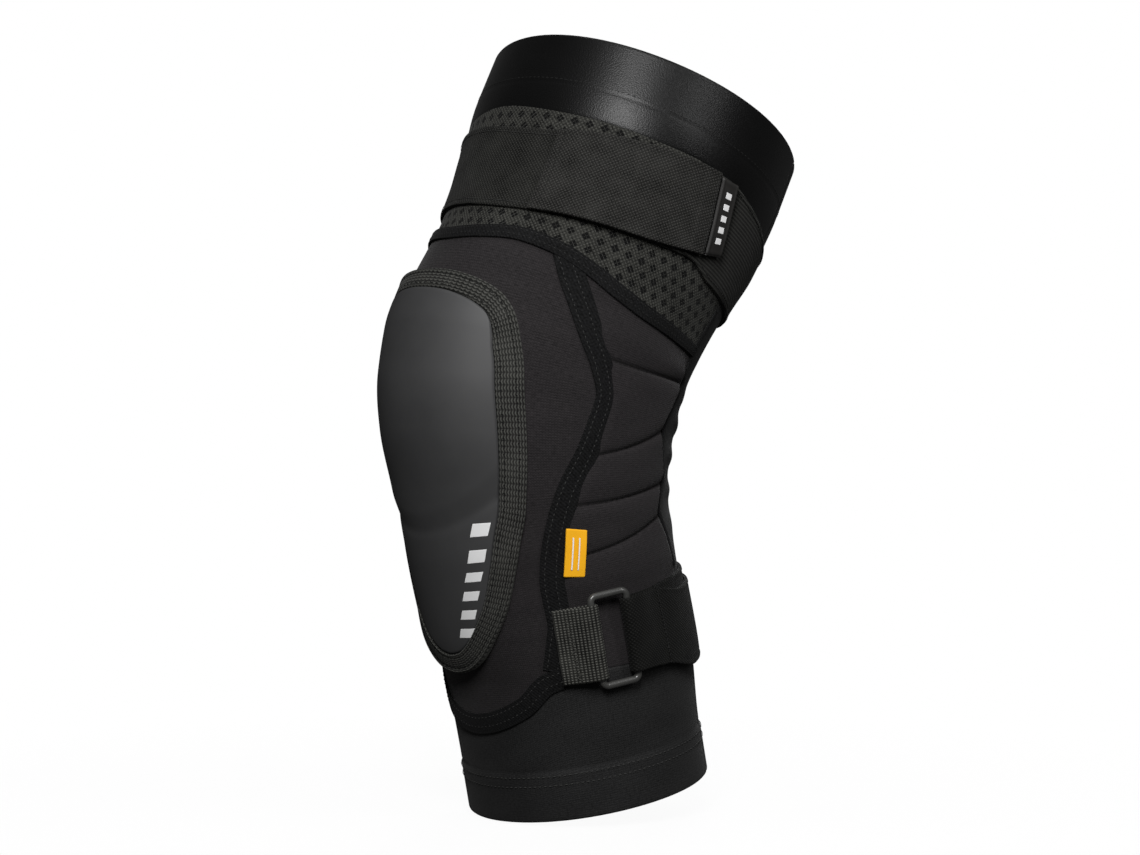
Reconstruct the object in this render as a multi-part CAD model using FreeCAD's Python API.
"""Left knee guard: a pre-bent stretch sleeve with a moulded knee cap, two straps and quilted sides.

Millimetres and degrees. +Z is up the leg, -Y is the front of the knee, +X is the outer side.
The origin is the knee centre, on the sleeve's centreline.

Every soft piece is a layer on one leg form. A place on the form is a station s, measured along
the centreline from the knee centre, an angle phi round it (0 at the front, 90 on the outer side,
180 at the back) and a height h above the form's surface.
"""
import FreeCAD, Part
import math
import os

Vector = FreeCAD.Vector

# ---- leg form -------------------------------------------------------------------------------
CALF_TILT = 11.5           # the calf leans this far back going down
THIGH_TILT = 25.7          # the thigh leans this far back going up
BEND_HALF = 50.0           # half of the bent length of the centreline
TOP = 154.0                # station of the thigh mouth
BOTTOM = -171.0            # station of the calf mouth
THIGH_R = 74.5             # radius of the round thigh end
CALF_R = 55.0              # radius of the round calf end

SIDE_R = [(BOTTOM, CALF_R), (-150, CALF_R), (-110, 56.5), (-75, 54.5), (-40, 55), (0, 58),
          (50, 62), (100, 70), (130, THIGH_R), (TOP, THIGH_R)]
FRONT_R = [(BOTTOM, CALF_R), (-150, CALF_R), (-110, 55), (-75, 55.5), (-40, 57), (0, 60),
           (50, 63), (100, 71), (130, THIGH_R), (TOP, THIGH_R)]
BACK_R = [(BOTTOM, CALF_R), (-150, CALF_R), (-110, 57.5), (-75, 57.5), (-40, 58), (0, 61),
          (50, 64), (80, 68.5), (100, 73), (130, THIGH_R), (TOP, THIGH_R)]
PAD_RISE = [(-130, 0), (-108, 1), (-100, 3), (-85, 6), (-55, 7.8), (-38, 8.2), (-27, 10),
            (-9, 15.5), (8, 18.5), (22, 18.5), (35, 15.5), (50, 10.5), (60, 7.5), (74, 4),
            (88, 1.2), (102, 0)]
PAD_SPREAD = [(-130, 60), (-60, 66), (0, 78), (50, 78), (102, 70)]
INNER_SHARE = 0.4          # how much of the pad's rise the leg side follows

# ---- layers: heights above the form --------------------------------------------------------
KNIT = (-1.4, 0.0)         # knit face of the front, side and rear panels
FOAM = (-4.3, -1.6)        # quilted foam in the sides
LINING = (-5.6, -4.7)      # lining next to the leg
PAD = (-3.8, -2.2)         # pad core, before the pad's own rise is added
CUFF = (-1.6, 0.0)         # smooth elastic of the two cuffs
GRIPPER = (-2.5, -1.7)     # silicone rings inside the cuffs
TAPE = (0.45, 1.1)         # flat seam tapes
MESH_TAPE = (0.55, 1.15)   # tape at the foot of the mesh
CAP = (0.5, 3.5)           # moulded cap
BINDING = (0.7, 4.2)       # woven binding round the cap
STRAP_LOW = (0.4, 1.8)     # strap lying on the sleeve
HOOK = (2.0, 2.9)          # hook patch under a strap end
STRAP_TOP = (3.1, 4.5)     # strap end lying on another layer
LABEL = (1.4, 2.2)         # label over the seam tape
GAP = 0.6                  # clearance between neighbours in one layer

# ---- edges of the pieces ---------------------------------------------------------------------
CUFF_EDGE = [(0, 117.5), (30, 115.4), (60, 115.6), (84, 116.8), (100, 114.8), (122, 111.5),
             (135, 109.5), (180, 108)]
MESH_EDGE = [(0, 53), (18, 55.5), (33, 57.5), (48, 56.3), (61, 53), (74, 49.3), (89, 47),
             (106, 46.6), (126, 48)]
CALF_EDGE = [(0, -127), (12, -125), (30, -118.5), (44, -108.5), (60, -106), (90, -107), (180, -109)]
FRONT_HALF = [(-108.5, 44), (-96, 49.6), (-81, 53.8), (-68, 53.8), (-55, 55.8), (-42, 60.4),
              (-29, 66.4), (-15, 73.9), (-6, 76.9), (7.5, 79.5), (20, 74.9), (29, 69),
              (40, 61.4), (49.4, 53.8), (56.3, 48.3)]
REAR_SEAM = [(-109, 131), (-76, 128), (-60, 123.5), (-44, 117.5), (-26, 123.5), (-10, 118.5),
             (0, 117), (14, 122), (28, 126.5), (51, 124.5), (67, 126), (112, 126)]
FRONT_BOTTOM_HALF = 44.0   # half width of the front panel where it meets the calf cuff
FRONT_TOP_HALF = 48.3      # half width of the front panel where it meets the thigh mesh
QUILT = [(-73, -79), (-56.5, -47), (-35.5, -30), (-17, -1), (23, 28)]
CAP_OUTLINE = [(-101.5, 0), (-100.3, 8), (-96, 16.5), (-86, 26.5), (-73.4, 34.8), (-49, 44),
               (-34, 49.2), (-11, 52), (11, 50), (20, 47.6), (29, 43.3), (34.5, 36.4),
               (37.3, 26), (38.5, 13.4), (38.7, 0)]
CAP_CORNERS = (0.12, 0.40)  # where the cap outline turns from its bottom and into its top
BINDING_WIDTH = 9.2
BINDING_TOP_WIDTH = 6.0
TAPE_WIDTH = 9.4
MESH_TAPE_WIDTH = 6.4
PIPING_WIDTH = 3.0

# ---- straps and the ring ------------------------------------------------------------------------
THIGH_SEAM = 33.0          # angle of the seam where the thigh strap's free end starts
CALF_END_SEAM = 152.0      # angle where the calf strap's free end starts
BAR_R = 1.6                # radius of the ring's round bar
RING_HEIGHT = 40.0         # between the centres of the short bars
RING_CORNER = 2.6
RING_STATION = -93.3
RING_LEFT = 66.6           # angle of the bar held by the anchor webbing
RING_RIGHT = 83.0          # angle of the bar that the strap turns round
RING_RISE = 4.7            # height of the bars' centres
WEBBING = 1.1              # thickness of the anchor webbing
STRAP = 1.3                # thickness of the calf strap
STRAP_LIFT = 0.9           # the straight turn clears the calf, which widens going down
BAR_GAP = 0.3              # between the ring and what is turned round it
FOLD_HALF = 16.6           # half width of the strap where it turns
FOLD_END = 101.0           # angle where the strap's turn meets the flat strap
ANCHOR_START = 50.5


def pchip(points):
    """A smooth curve through (x, y) points that never overshoots them, as a function of x."""
    xs = [float(p[0]) for p in points]
    ys = [float(p[1]) for p in points]
    steps = [b - a for a, b in zip(xs, xs[1:])]
    rises = [(b - a) / h for a, b, h in zip(ys, ys[1:], steps)]
    slopes = [rises[0]]
    for i in range(1, len(xs) - 1):
        if rises[i - 1] * rises[i] <= 0:
            slopes.append(0.0)
        else:
            near = 2 * steps[i] + steps[i - 1]
            far = steps[i] + 2 * steps[i - 1]
            slopes.append((near + far) / (near / rises[i - 1] + far / rises[i]))
    slopes.append(rises[-1])

    def curve(x):
        x = min(max(x, xs[0]), xs[-1])
        i = max(k for k in range(len(xs) - 1) if xs[k] <= x)
        h = steps[i]
        t = (x - xs[i]) / h
        return (ys[i] * (1 + 2 * t) * (1 - t) ** 2 + slopes[i] * h * t * (1 - t) ** 2
                + ys[i + 1] * t * t * (3 - 2 * t) + slopes[i + 1] * h * t * t * (t - 1))
    return curve


side_r = pchip(SIDE_R)
front_r = pchip(FRONT_R)
back_r = pchip(BACK_R)
pad_rise = pchip(PAD_RISE)
pad_spread = pchip(PAD_SPREAD)
cuff_edge = pchip(CUFF_EDGE)
mesh_edge = pchip(MESH_EDGE)
calf_edge = pchip(CALF_EDGE)
front_half = pchip(FRONT_HALF)
rear_seam = pchip(REAR_SEAM)


def lean(s):
    """Lean of the centreline at a station, in radians, positive towards the back going up."""
    share = min(max((s + BEND_HALF) / (2 * BEND_HALF), 0), 1)
    return math.radians(-CALF_TILT + share * (CALF_TILT + THIGH_TILT))


def centre(s):
    """Centreline point: an arc over the bent length and straight beyond it."""
    radius = 2 * BEND_HALF / math.radians(CALF_TILT + THIGH_TILT)
    past = s - min(max(s, -BEND_HALF), BEND_HALF)
    a0 = lean(0)
    a = lean(s)
    y = radius * (math.cos(a0) - math.cos(a)) + past * math.sin(a)
    z = radius * (math.sin(a) - math.sin(a0)) + past * math.cos(a)
    return Vector(0, y, z)


def place(s, phi, h=0.0, share=1.0):
    """Point on the form: half ellipses front and back, with the pad's rise over the front."""
    p = math.radians(phi)
    a = lean(s)
    across = (side_r(s) + h) * math.sin(p)
    if math.cos(p) > 0:
        u = min(abs(phi) / pad_spread(s), 1)
        rise = share * pad_rise(s) * (1 - u ** 4) ** 2
        forward = (front_r(s) + h + rise) * math.cos(p)
    else:
        forward = (back_r(s) + h) * math.cos(p)
    return centre(s) + Vector(across, -forward * math.cos(a), forward * math.sin(a))


def mix(a, b, t):
    return a + (b - a) * t


def coons(bottom, top, left, right):
    """Cell of a four-sided region whose edges are functions of 0 to 1 giving (s, phi)."""
    def cell(u, v):
        out = []
        for k in (0, 1):
            edges = mix(bottom(u)[k], top(u)[k], v) + mix(left(v)[k], right(v)[k], u)
            corners = mix(mix(bottom(0)[k], bottom(1)[k], u), mix(top(0)[k], top(1)[k], u), v)
            out.append(edges - corners)
        return out
    return cell


def path(points):
    """Smooth (s, phi) path through points, as a function of 0 to 1 by distance."""
    run = [0.0]
    for a, b in zip(points, points[1:]):
        run.append(run[-1] + math.dist(a, b))
    along_s = pchip([(d / run[-1], p[0]) for d, p in zip(run, points)])
    along_phi = pchip([(d / run[-1], p[1]) for d, p in zip(run, points)])
    return lambda t: (along_s(t), along_phi(t))


def beside(line, t, offset):
    """Point of an (s, phi) line moved sideways by a distance along the surface."""
    near, far = line(max(t - 0.004, 0)), line(min(t + 0.004, 1))
    s, phi = line(t)
    scale = math.radians(side_r(s))
    ds, dp = far[0] - near[0], (far[1] - near[1]) * scale
    size = math.hypot(ds, dp)
    return s - offset * dp / size, phi + offset * ds / size / scale


def strip(line, width):
    """Cell of a tape of one width centred on a line."""
    return lambda u, v: beside(line, u, (v - 0.5) * width)


def number(value, u, v):
    return value(u, v) if callable(value) else value


def layer(cell, heights, nu=15, nv=9, shares=(1.0, 1.0)):
    """Closed solid between two heights over a cell: two smooth faces and four ruled edges."""
    faces = []
    for height, share in zip(heights, shares):
        grid = []
        for i in range(nu):
            row = []
            for j in range(nv):
                u, v = i / (nu - 1), j / (nv - 1)
                s, phi = cell(u, v)
                row.append(place(s, phi, number(height, u, v), share))
            grid.append(row)
        surface = Part.BSplineSurface()
        surface.interpolate(grid)
        faces.append(surface)
    low, high = faces
    shells = [low.toShape(), high.toShape()]
    u0, u1, v0, v1 = low.bounds()
    U0, U1, V0, V1 = high.bounds()
    for a, b in [(low.uIso(u0), high.uIso(U0)), (low.uIso(u1), high.uIso(U1)),
                 (low.vIso(v0), high.vIso(V0)), (low.vIso(v1), high.vIso(V1))]:
        shells.append(Part.makeRuledSurface(a.toShape(), b.toShape()))
    shell = Part.makeShell(shells)
    shell.sewShape()
    solid = Part.makeSolid(Part.Shell(shell.Faces))
    if solid.Volume < 0:
        solid.reverse()
    return solid


def mirrored(shape):
    """The same piece on the inner side of the leg."""
    return shape.mirror(Vector(0, 0, 0), Vector(1, 0, 0))


def ring_cell(low, high, seam=0.25):
    """Cell of a cuff that runs once round the leg, with its butt seam at the back."""
    def cell(u, v):
        phi = mix(-180 + seam, 180 - seam, u)
        return mix(low(abs(phi)), high(abs(phi)), v), phi
    return cell


def tube(station_low, station_high, radius_in, radius_out):
    """Round ring whose axis is the straight centreline of the thigh or the calf."""
    start, end = centre(station_low), centre(station_high)
    length = (end - start).Length
    outer = Part.makeCylinder(radius_out, length, start, end - start)
    return outer.cut(Part.makeCylinder(radius_in, length, start, end - start))


# ---- regions shared by several layers ---------------------------------------------------------
def front_region(inset):
    """Cell of the front panel, drawn in by a margin."""
    low, high = calf_edge(FRONT_BOTTOM_HALF) + inset, mesh_edge(FRONT_TOP_HALF) - inset
    turn = inset / math.radians(58)

    def across(half, edge, shift):
        return lambda u: (edge(abs(mix(-half, half, u))) + shift, mix(turn - half, half - turn, u))

    def side(sign):
        return lambda v: (mix(low, high, v), sign * (front_half(mix(low, high, v)) - turn))
    bottom = across(FRONT_BOTTOM_HALF, calf_edge, inset)
    top = across(FRONT_TOP_HALF, mesh_edge, -inset)
    bottom_half, top_half = front_half(low) - turn, front_half(high) - turn
    snug_bottom = lambda u: (bottom(u)[0], mix(-bottom_half, bottom_half, u))
    snug_top = lambda u: (top(u)[0], mix(-top_half, top_half, u))
    return coons(snug_bottom, snug_top, side(-1), side(1))


def side_region(inset):
    """Cell of the outer side panel, between the front tape and the rear seam."""
    turn = inset / math.radians(58)

    def edge_phi(v):
        front = mix(calf_edge(FRONT_BOTTOM_HALF), mesh_edge(FRONT_TOP_HALF), v)
        rear = mix(calf_edge(131), mesh_edge(126), v)
        return front, front_half(front) + turn, rear, rear_seam(rear) - turn

    def across(v, edge, shift):
        front = edge_phi(v)[1]
        rear = edge_phi(v)[3]
        return lambda u: (edge(mix(front, rear, u)) + shift, mix(front, rear, u))
    bottom = across(0, calf_edge, inset)
    top = across(1, mesh_edge, -inset)

    def left(v):
        return mix(bottom(0)[0], top(0)[0], v), edge_phi(v)[1]

    def right(v):
        return mix(bottom(1)[0], top(1)[0], v), edge_phi(v)[3]
    return coons(bottom, top, left, right)


def rear_region(inset):
    """Cell of the rear panel, from the calf cuff up to the thigh cuff."""
    turn = inset / math.radians(58)

    def cell(u, v):
        phi0 = mix(131, 229, u)
        s = mix(calf_edge(min(phi0, 360 - phi0)), cuff_edge(min(phi0, 360 - phi0)), v)
        s += inset * (1 - 2 * v)
        half = 180 - rear_seam(s) - turn
        return s, 180 + half * (2 * u - 1)
    return cell


def cap_loop():
    """Closed outline of the cap: up the outer side, over the top and down the inner side."""
    inner = [(s, -phi) for s, phi in reversed(CAP_OUTLINE[:-1])]
    return path(CAP_OUTLINE + inner)


def binding_width(t):
    """The binding narrows where it turns over the top of the cap."""
    return mix(BINDING_TOP_WIDTH, BINDING_WIDTH, min(abs(t - 0.5) / 0.14, 1) ** 2)


# ---- the pieces -----------------------------------------------------------------------------
def make_cuffs():
    inset = lambda edge, shift: (lambda phi: edge(phi) + shift)
    thigh = layer(ring_cell(inset(cuff_edge, GAP), lambda phi: TOP), CUFF, 33, 7)
    calf = layer(ring_cell(lambda phi: BOTTOM, inset(calf_edge, -GAP)), CUFF, 33, 7)
    return {
        "thigh_cuff": thigh,
        "thigh_gripper": tube(136, 150, THIGH_R + GRIPPER[0], THIGH_R + GRIPPER[1]),
        "calf_cuff": calf,
        "calf_gripper": tube(-167, -153, CALF_R + GRIPPER[0], CALF_R + GRIPPER[1]),
    }


def make_panels():
    half = 0.5 * GAP

    def mesh(u, v):
        turn = mix(-1, 1, u)
        phi = 125.5 * abs(turn)
        s = mix(mesh_edge(phi) + half, cuff_edge(phi) - half, v)
        return s, (rear_seam(s) - half) * turn
    leg_side = (INNER_SHARE, INNER_SHARE)
    side = layer(side_region(half), KNIT, 11, 23)
    lining = layer(side_region(1.0), LINING, 11, 23, leg_side)
    return {
        "thigh_mesh_band": layer(mesh, KNIT, 33, 9),
        "front_panel": layer(front_region(half), KNIT, 25, 41),
        "pad_lining": layer(front_region(1.0), LINING, 25, 27, leg_side),
        "pad_core": layer(front_region(7.5), PAD, 23, 39, (INNER_SHARE, 1.0)),
        "outer_side_panel": side,
        "inner_side_panel": mirrored(side),
        "outer_side_lining": lining,
        "inner_side_lining": mirrored(lining),
        "rear_panel": layer(rear_region(half), KNIT, 13, 37),
    }


def quilt_foam(low, high):
    """One quilted segment of foam between two sewn lines, each given at its two ends."""
    def cell(u, v):
        s = mix(low(u), high(u), v)
        return s, mix(front_half(s) + 5.5, rear_seam(s) - 3.5, u)
    return layer(cell, FOAM, 9, 7, (INNER_SHARE, 1.0))


def make_side_foam():
    lines = [lambda u, q=q: mix(q[0], q[1], u) for q in QUILT]
    lines.append(lambda u: mesh_edge(mix(55, 122, u)) - 4)
    raised = lambda line, shift: (lambda u: line(u) + shift)
    parts = [quilt_foam(raised(a, 0.9), raised(b, -0.9)) for a, b in zip(lines, lines[1:])]
    outer = Part.makeCompound(parts)
    return {"outer_side_foam": outer, "inner_side_foam": mirrored(outer)}


def make_cap():
    loop = cap_loop()
    joint = 0.0015
    band = lambda u, v: beside(loop, mix(joint, 1 - joint, u), -v * binding_width(u))
    inside = lambda t: beside(loop, t % 1.0, -binding_width(t % 1.0) - 0.6)
    low, high = CAP_CORNERS
    bottom = lambda u: inside(mix(-low, low, u))
    top = lambda u: inside(mix(1 - high, high, u))
    left = lambda v: inside(mix(1 - low, 1 - high, v))
    right = lambda v: inside(mix(low, high, v))
    return {
        "cap_shell": layer(coons(bottom, top, left, right), CAP, 23, 29),
        "cap_binding": layer(band, BINDING, 97, 4),
    }


def make_tapes():
    side_line = path([(-103.5, 46.6)] + [p for p in FRONT_HALF if -100 < p[0] < 48] + [(47.4, 55.2)])
    side = layer(strip(side_line, TAPE_WIDTH), TAPE, 41, 4)
    mesh_line = lambda t: (mesh_edge(abs(mix(-120.5, 120.5, t))), mix(-120.5, 120.5, t))
    calf_line = lambda t: (calf_edge(abs(mix(-46, 46, t))), mix(-46, 46, t))
    rear_line = lambda t: (mix(-73, 70, t), rear_seam(mix(-73, 70, t)))
    rear = layer(strip(rear_line, PIPING_WIDTH), TAPE, 33, 4)
    label = coons(path([(-62, 58.6), (-63.8, 67.4)]), path([(-43.2, 63), (-45, 71.8)]),
                  path([(-62, 58.6), (-43.2, 63)]), path([(-63.8, 67.4), (-45, 71.8)]))
    return {
        "outer_seam_tape": side,
        "inner_seam_tape": mirrored(side),
        "mesh_seam_tape": layer(strip(mesh_line, MESH_TAPE_WIDTH), MESH_TAPE, 49, 4),
        "calf_seam_tape": layer(strip(calf_line, TAPE_WIDTH), TAPE, 25, 4),
        "outer_rear_piping": rear,
        "inner_rear_piping": mirrored(rear),
        "side_label": layer(label, LABEL, 4, 5),
    }


def band(low_edge, high_edge, heights, nu=21):
    """Strap layer between two (s, phi) edges given as lists of points."""
    low, high = path(low_edge), path(high_edge)
    cell = lambda u, v: [mix(low(u)[k], high(u)[k], v) for k in (0, 1)]
    return layer(cell, heights, nu, 5)


def make_thigh_strap():
    """Front elastic, landing band round the back, and the free end with its hook and pull tab."""
    front = band([(73, -124), (72, -70), (70.2, -20), (68.4, 15), (69.4, THIGH_SEAM)],
                 [(111, -124), (112, -70), (109.5, -20), (106.6, 18), (107.8, THIGH_SEAM)], STRAP_LOW)
    landing = band([(72, 46), (76, 80), (78, 94), (74.5, 108), (74.5, 145), (78, 180), (73, 235)],
                   [(110.6, 46), (115.5, 80), (117, 94), (114.5, 109), (109.5, 140), (111, 180),
                    (111, 235)], STRAP_LOW, 33)
    rise = lambda level: (lambda u, v: mix(STRAP_LOW[1] + 0.2 + level, STRAP_TOP[0] + level,
                                           min(u / 0.25, 1)))
    thickness = STRAP_TOP[1] - STRAP_TOP[0]
    start_low, start_high = (69.1, THIGH_SEAM - 3), (107.5, THIGH_SEAM - 3)
    end = band([start_low, (70.8, 44), (75.4, 76), (81.5, 96.2)],
               [start_high, (111.2, 52), (115, 76), (116.4, 88)], (rise(0), rise(thickness)))
    hook = band([(72.2, 47), (75.8, 74), (80, 88)], [(109.5, 47), (113.6, 74), (114.6, 82)], HOOK)
    tab = band([(82.2, 97), (85.9, 104.4)], [(115.2, 89), (116.2, 96.4)],
               (STRAP_TOP[0] - 0.3, STRAP_TOP[1] + 0.4), 5)
    return {
        "thigh_strap_front": front,
        "thigh_strap_landing": landing,
        "thigh_strap_end": end,
        "thigh_hook_patch": hook,
        "thigh_pull_tab": tab,
    }


def calf_axis():
    a = lean(RING_STATION)
    return Vector(0, math.sin(a), math.cos(a))


def section_point(phi, h):
    """Point of the calf's cross-section at the ring's station."""
    return place(RING_STATION, phi, h)


def make_ring():
    """Rounded rectangular loop of round bar: four straight bars joined by quarter bends."""
    along = calf_axis()
    left, right = section_point(RING_LEFT, RING_RISE), section_point(RING_RIGHT, RING_RISE)
    across = (right - left).normalize()
    out = across.cross(along).normalize()
    middle = (left + right) * 0.5
    half_w, half_h = (right - left).Length / 2, RING_HEIGHT / 2
    reach_w, reach_h = half_w - RING_CORNER, half_h - RING_CORNER
    pieces = []
    for sign in (-1, 1):
        foot = middle + across * (sign * half_w) - along * reach_h
        pieces.append(Part.makeCylinder(BAR_R, 2 * reach_h, foot, along))
        foot = middle + along * (sign * half_h) - across * reach_w
        pieces.append(Part.makeCylinder(BAR_R, 2 * reach_w, foot, across))
    for sx, sz in [(1, 1), (-1, 1), (-1, -1), (1, -1)]:
        hub = middle + across * (sx * reach_w) + along * (sz * reach_h)
        disc = Part.Face(Part.Wire(Part.makeCircle(BAR_R, hub + across * (sx * RING_CORNER), along)))
        pieces.append(disc.revolve(hub, out * (sx * sz), 90))
    return pieces[0].multiFuse(pieces[1:]).removeSplitter()


def turned_strap(bar, thickness, under, over, width):
    """Strap that runs under a bar, turns round it and lies back over itself.

    under and over give the angle where each arm ends and the height of its middle there.
    """
    axis = calf_axis()
    hub = section_point(bar, RING_RISE)
    out = (section_point(bar, RING_RISE + 1) - hub).normalize()
    away = axis.cross(out).normalize()
    if (section_point(under[0], 0) - section_point(bar, 0)).dot(away) > 0:
        away = away * -1
    turn = BAR_R + BAR_GAP + thickness / 2
    middle = []
    for k in range(9):
        t = k / 8
        drop = (RING_RISE - turn - under[1]) * (t * t * (3 - 2 * t))
        middle.append(section_point(mix(under[0], bar, t), under[1] + drop))
    for k in range(1, 8):
        angle = math.pi * k / 8
        middle.append(hub - out * (turn * math.cos(angle)) + away * (turn * math.sin(angle)))
    for k in range(9):
        t = 1 - k / 8
        drop = (RING_RISE + turn - over[1]) * (t * t * (3 - 2 * t))
        middle.append(section_point(mix(over[0], bar, t), over[1] + drop))
    sides = []
    for sign in (-1, 1):
        line = []
        for i, point in enumerate(middle):
            ahead = (middle[min(i + 1, len(middle) - 1)] - middle[max(i - 1, 0)]).normalize()
            line.append(point + axis.cross(ahead) * (sign * thickness / 2))
        curve = Part.BSplineCurve()
        curve.interpolate(line)
        sides.append((curve.toShape(), line[0], line[-1]))
    caps = [Part.makeLine(sides[0][k], sides[1][k]) for k in (1, 2)]
    face = Part.Face(Part.Wire(Part.__sortEdges__([sides[0][0], caps[1], sides[1][0], caps[0]])))
    low, high = width
    return face.translated(axis * (low - RING_STATION)).extrude(axis * (high - low))


def make_calf_strap():
    """Anchor webbing, strap round the calf, its turn round the ring, and its hooked end."""
    under = TAPE[1] + 0.25 + WEBBING / 2
    held = (RING_STATION - FOLD_HALF, RING_STATION + FOLD_HALF)
    anchor = turned_strap(RING_LEFT, WEBBING, (ANCHOR_START, under),
                          (ANCHOR_START, under + WEBBING + 0.2), held)
    low = STRAP_LOW[0] + STRAP / 2 + STRAP_LIFT
    high = low + STRAP + 0.3
    fold = turned_strap(RING_RIGHT, STRAP, (FOLD_END, low), (FOLD_END, high), held)
    over = (STRAP_LOW[0] + STRAP + 0.5, STRAP_LOW[0] + 2 * STRAP + 0.5)
    settle = lambda level, top: (lambda u, v: mix(top, level, min(u / 0.4, 1)))
    eased = (settle(over[0], high - STRAP / 2), settle(over[1], high + STRAP / 2))
    start = FOLD_END + 0.3
    strap = band([(-111, start), (-112, 150), (-111, 200), (-109, 300)],
                 [(-76.5, start), (-76.5, 150), (-76.5, 200), (-75, 300)],
                 (STRAP_LOW[0], STRAP_LOW[0] + STRAP), 33)
    back = band([(-111.5, start), (-118, 125), (-118, CALF_END_SEAM - 0.3)],
                [(-77.5, start), (-82.5, 125), (-82.5, CALF_END_SEAM - 0.3)], eased, 17)
    end = band([(-118, CALF_END_SEAM + 0.3), (-117, 215)],
               [(-82.5, CALF_END_SEAM + 0.3), (-81.5, 215)], over, 13)
    hook = band([(-115, CALF_END_SEAM + 6), (-114.5, 211)],
                [(-85, CALF_END_SEAM + 6), (-84.5, 211)],
                (STRAP_LOW[0] + STRAP + 0.05, over[0] - 0.05), 13)
    tab = band([(-116.5, 215.6), (-116.5, 224)], [(-82, 215.6), (-82, 224)],
               (over[0] - 0.1, over[1] + 0.4), 5)
    return {
        "calf_anchor_webbing": anchor,
        "calf_strap": strap,
        "calf_strap_turn": fold,
        "calf_strap_return": back,
        "calf_strap_end": end,
        "calf_hook_patch": hook,
        "calf_pull_tab": tab,
        "calf_strap_ring": make_ring(),
    }


def make_all():
    nodes = {}
    for make in (make_cuffs, make_panels, make_side_foam, make_cap, make_tapes,
                 make_thigh_strap, make_calf_strap):
        nodes.update(make())
    return nodes


os.makedirs("parts", exist_ok=True)
for name, shape in make_all().items():
    shape.exportStep(os.path.join("parts", name + ".step"))
    print(f"{name:22s} valid {shape.isValid()}  solids {len(shape.Solids)}  volume {shape.Volume:9.0f}")
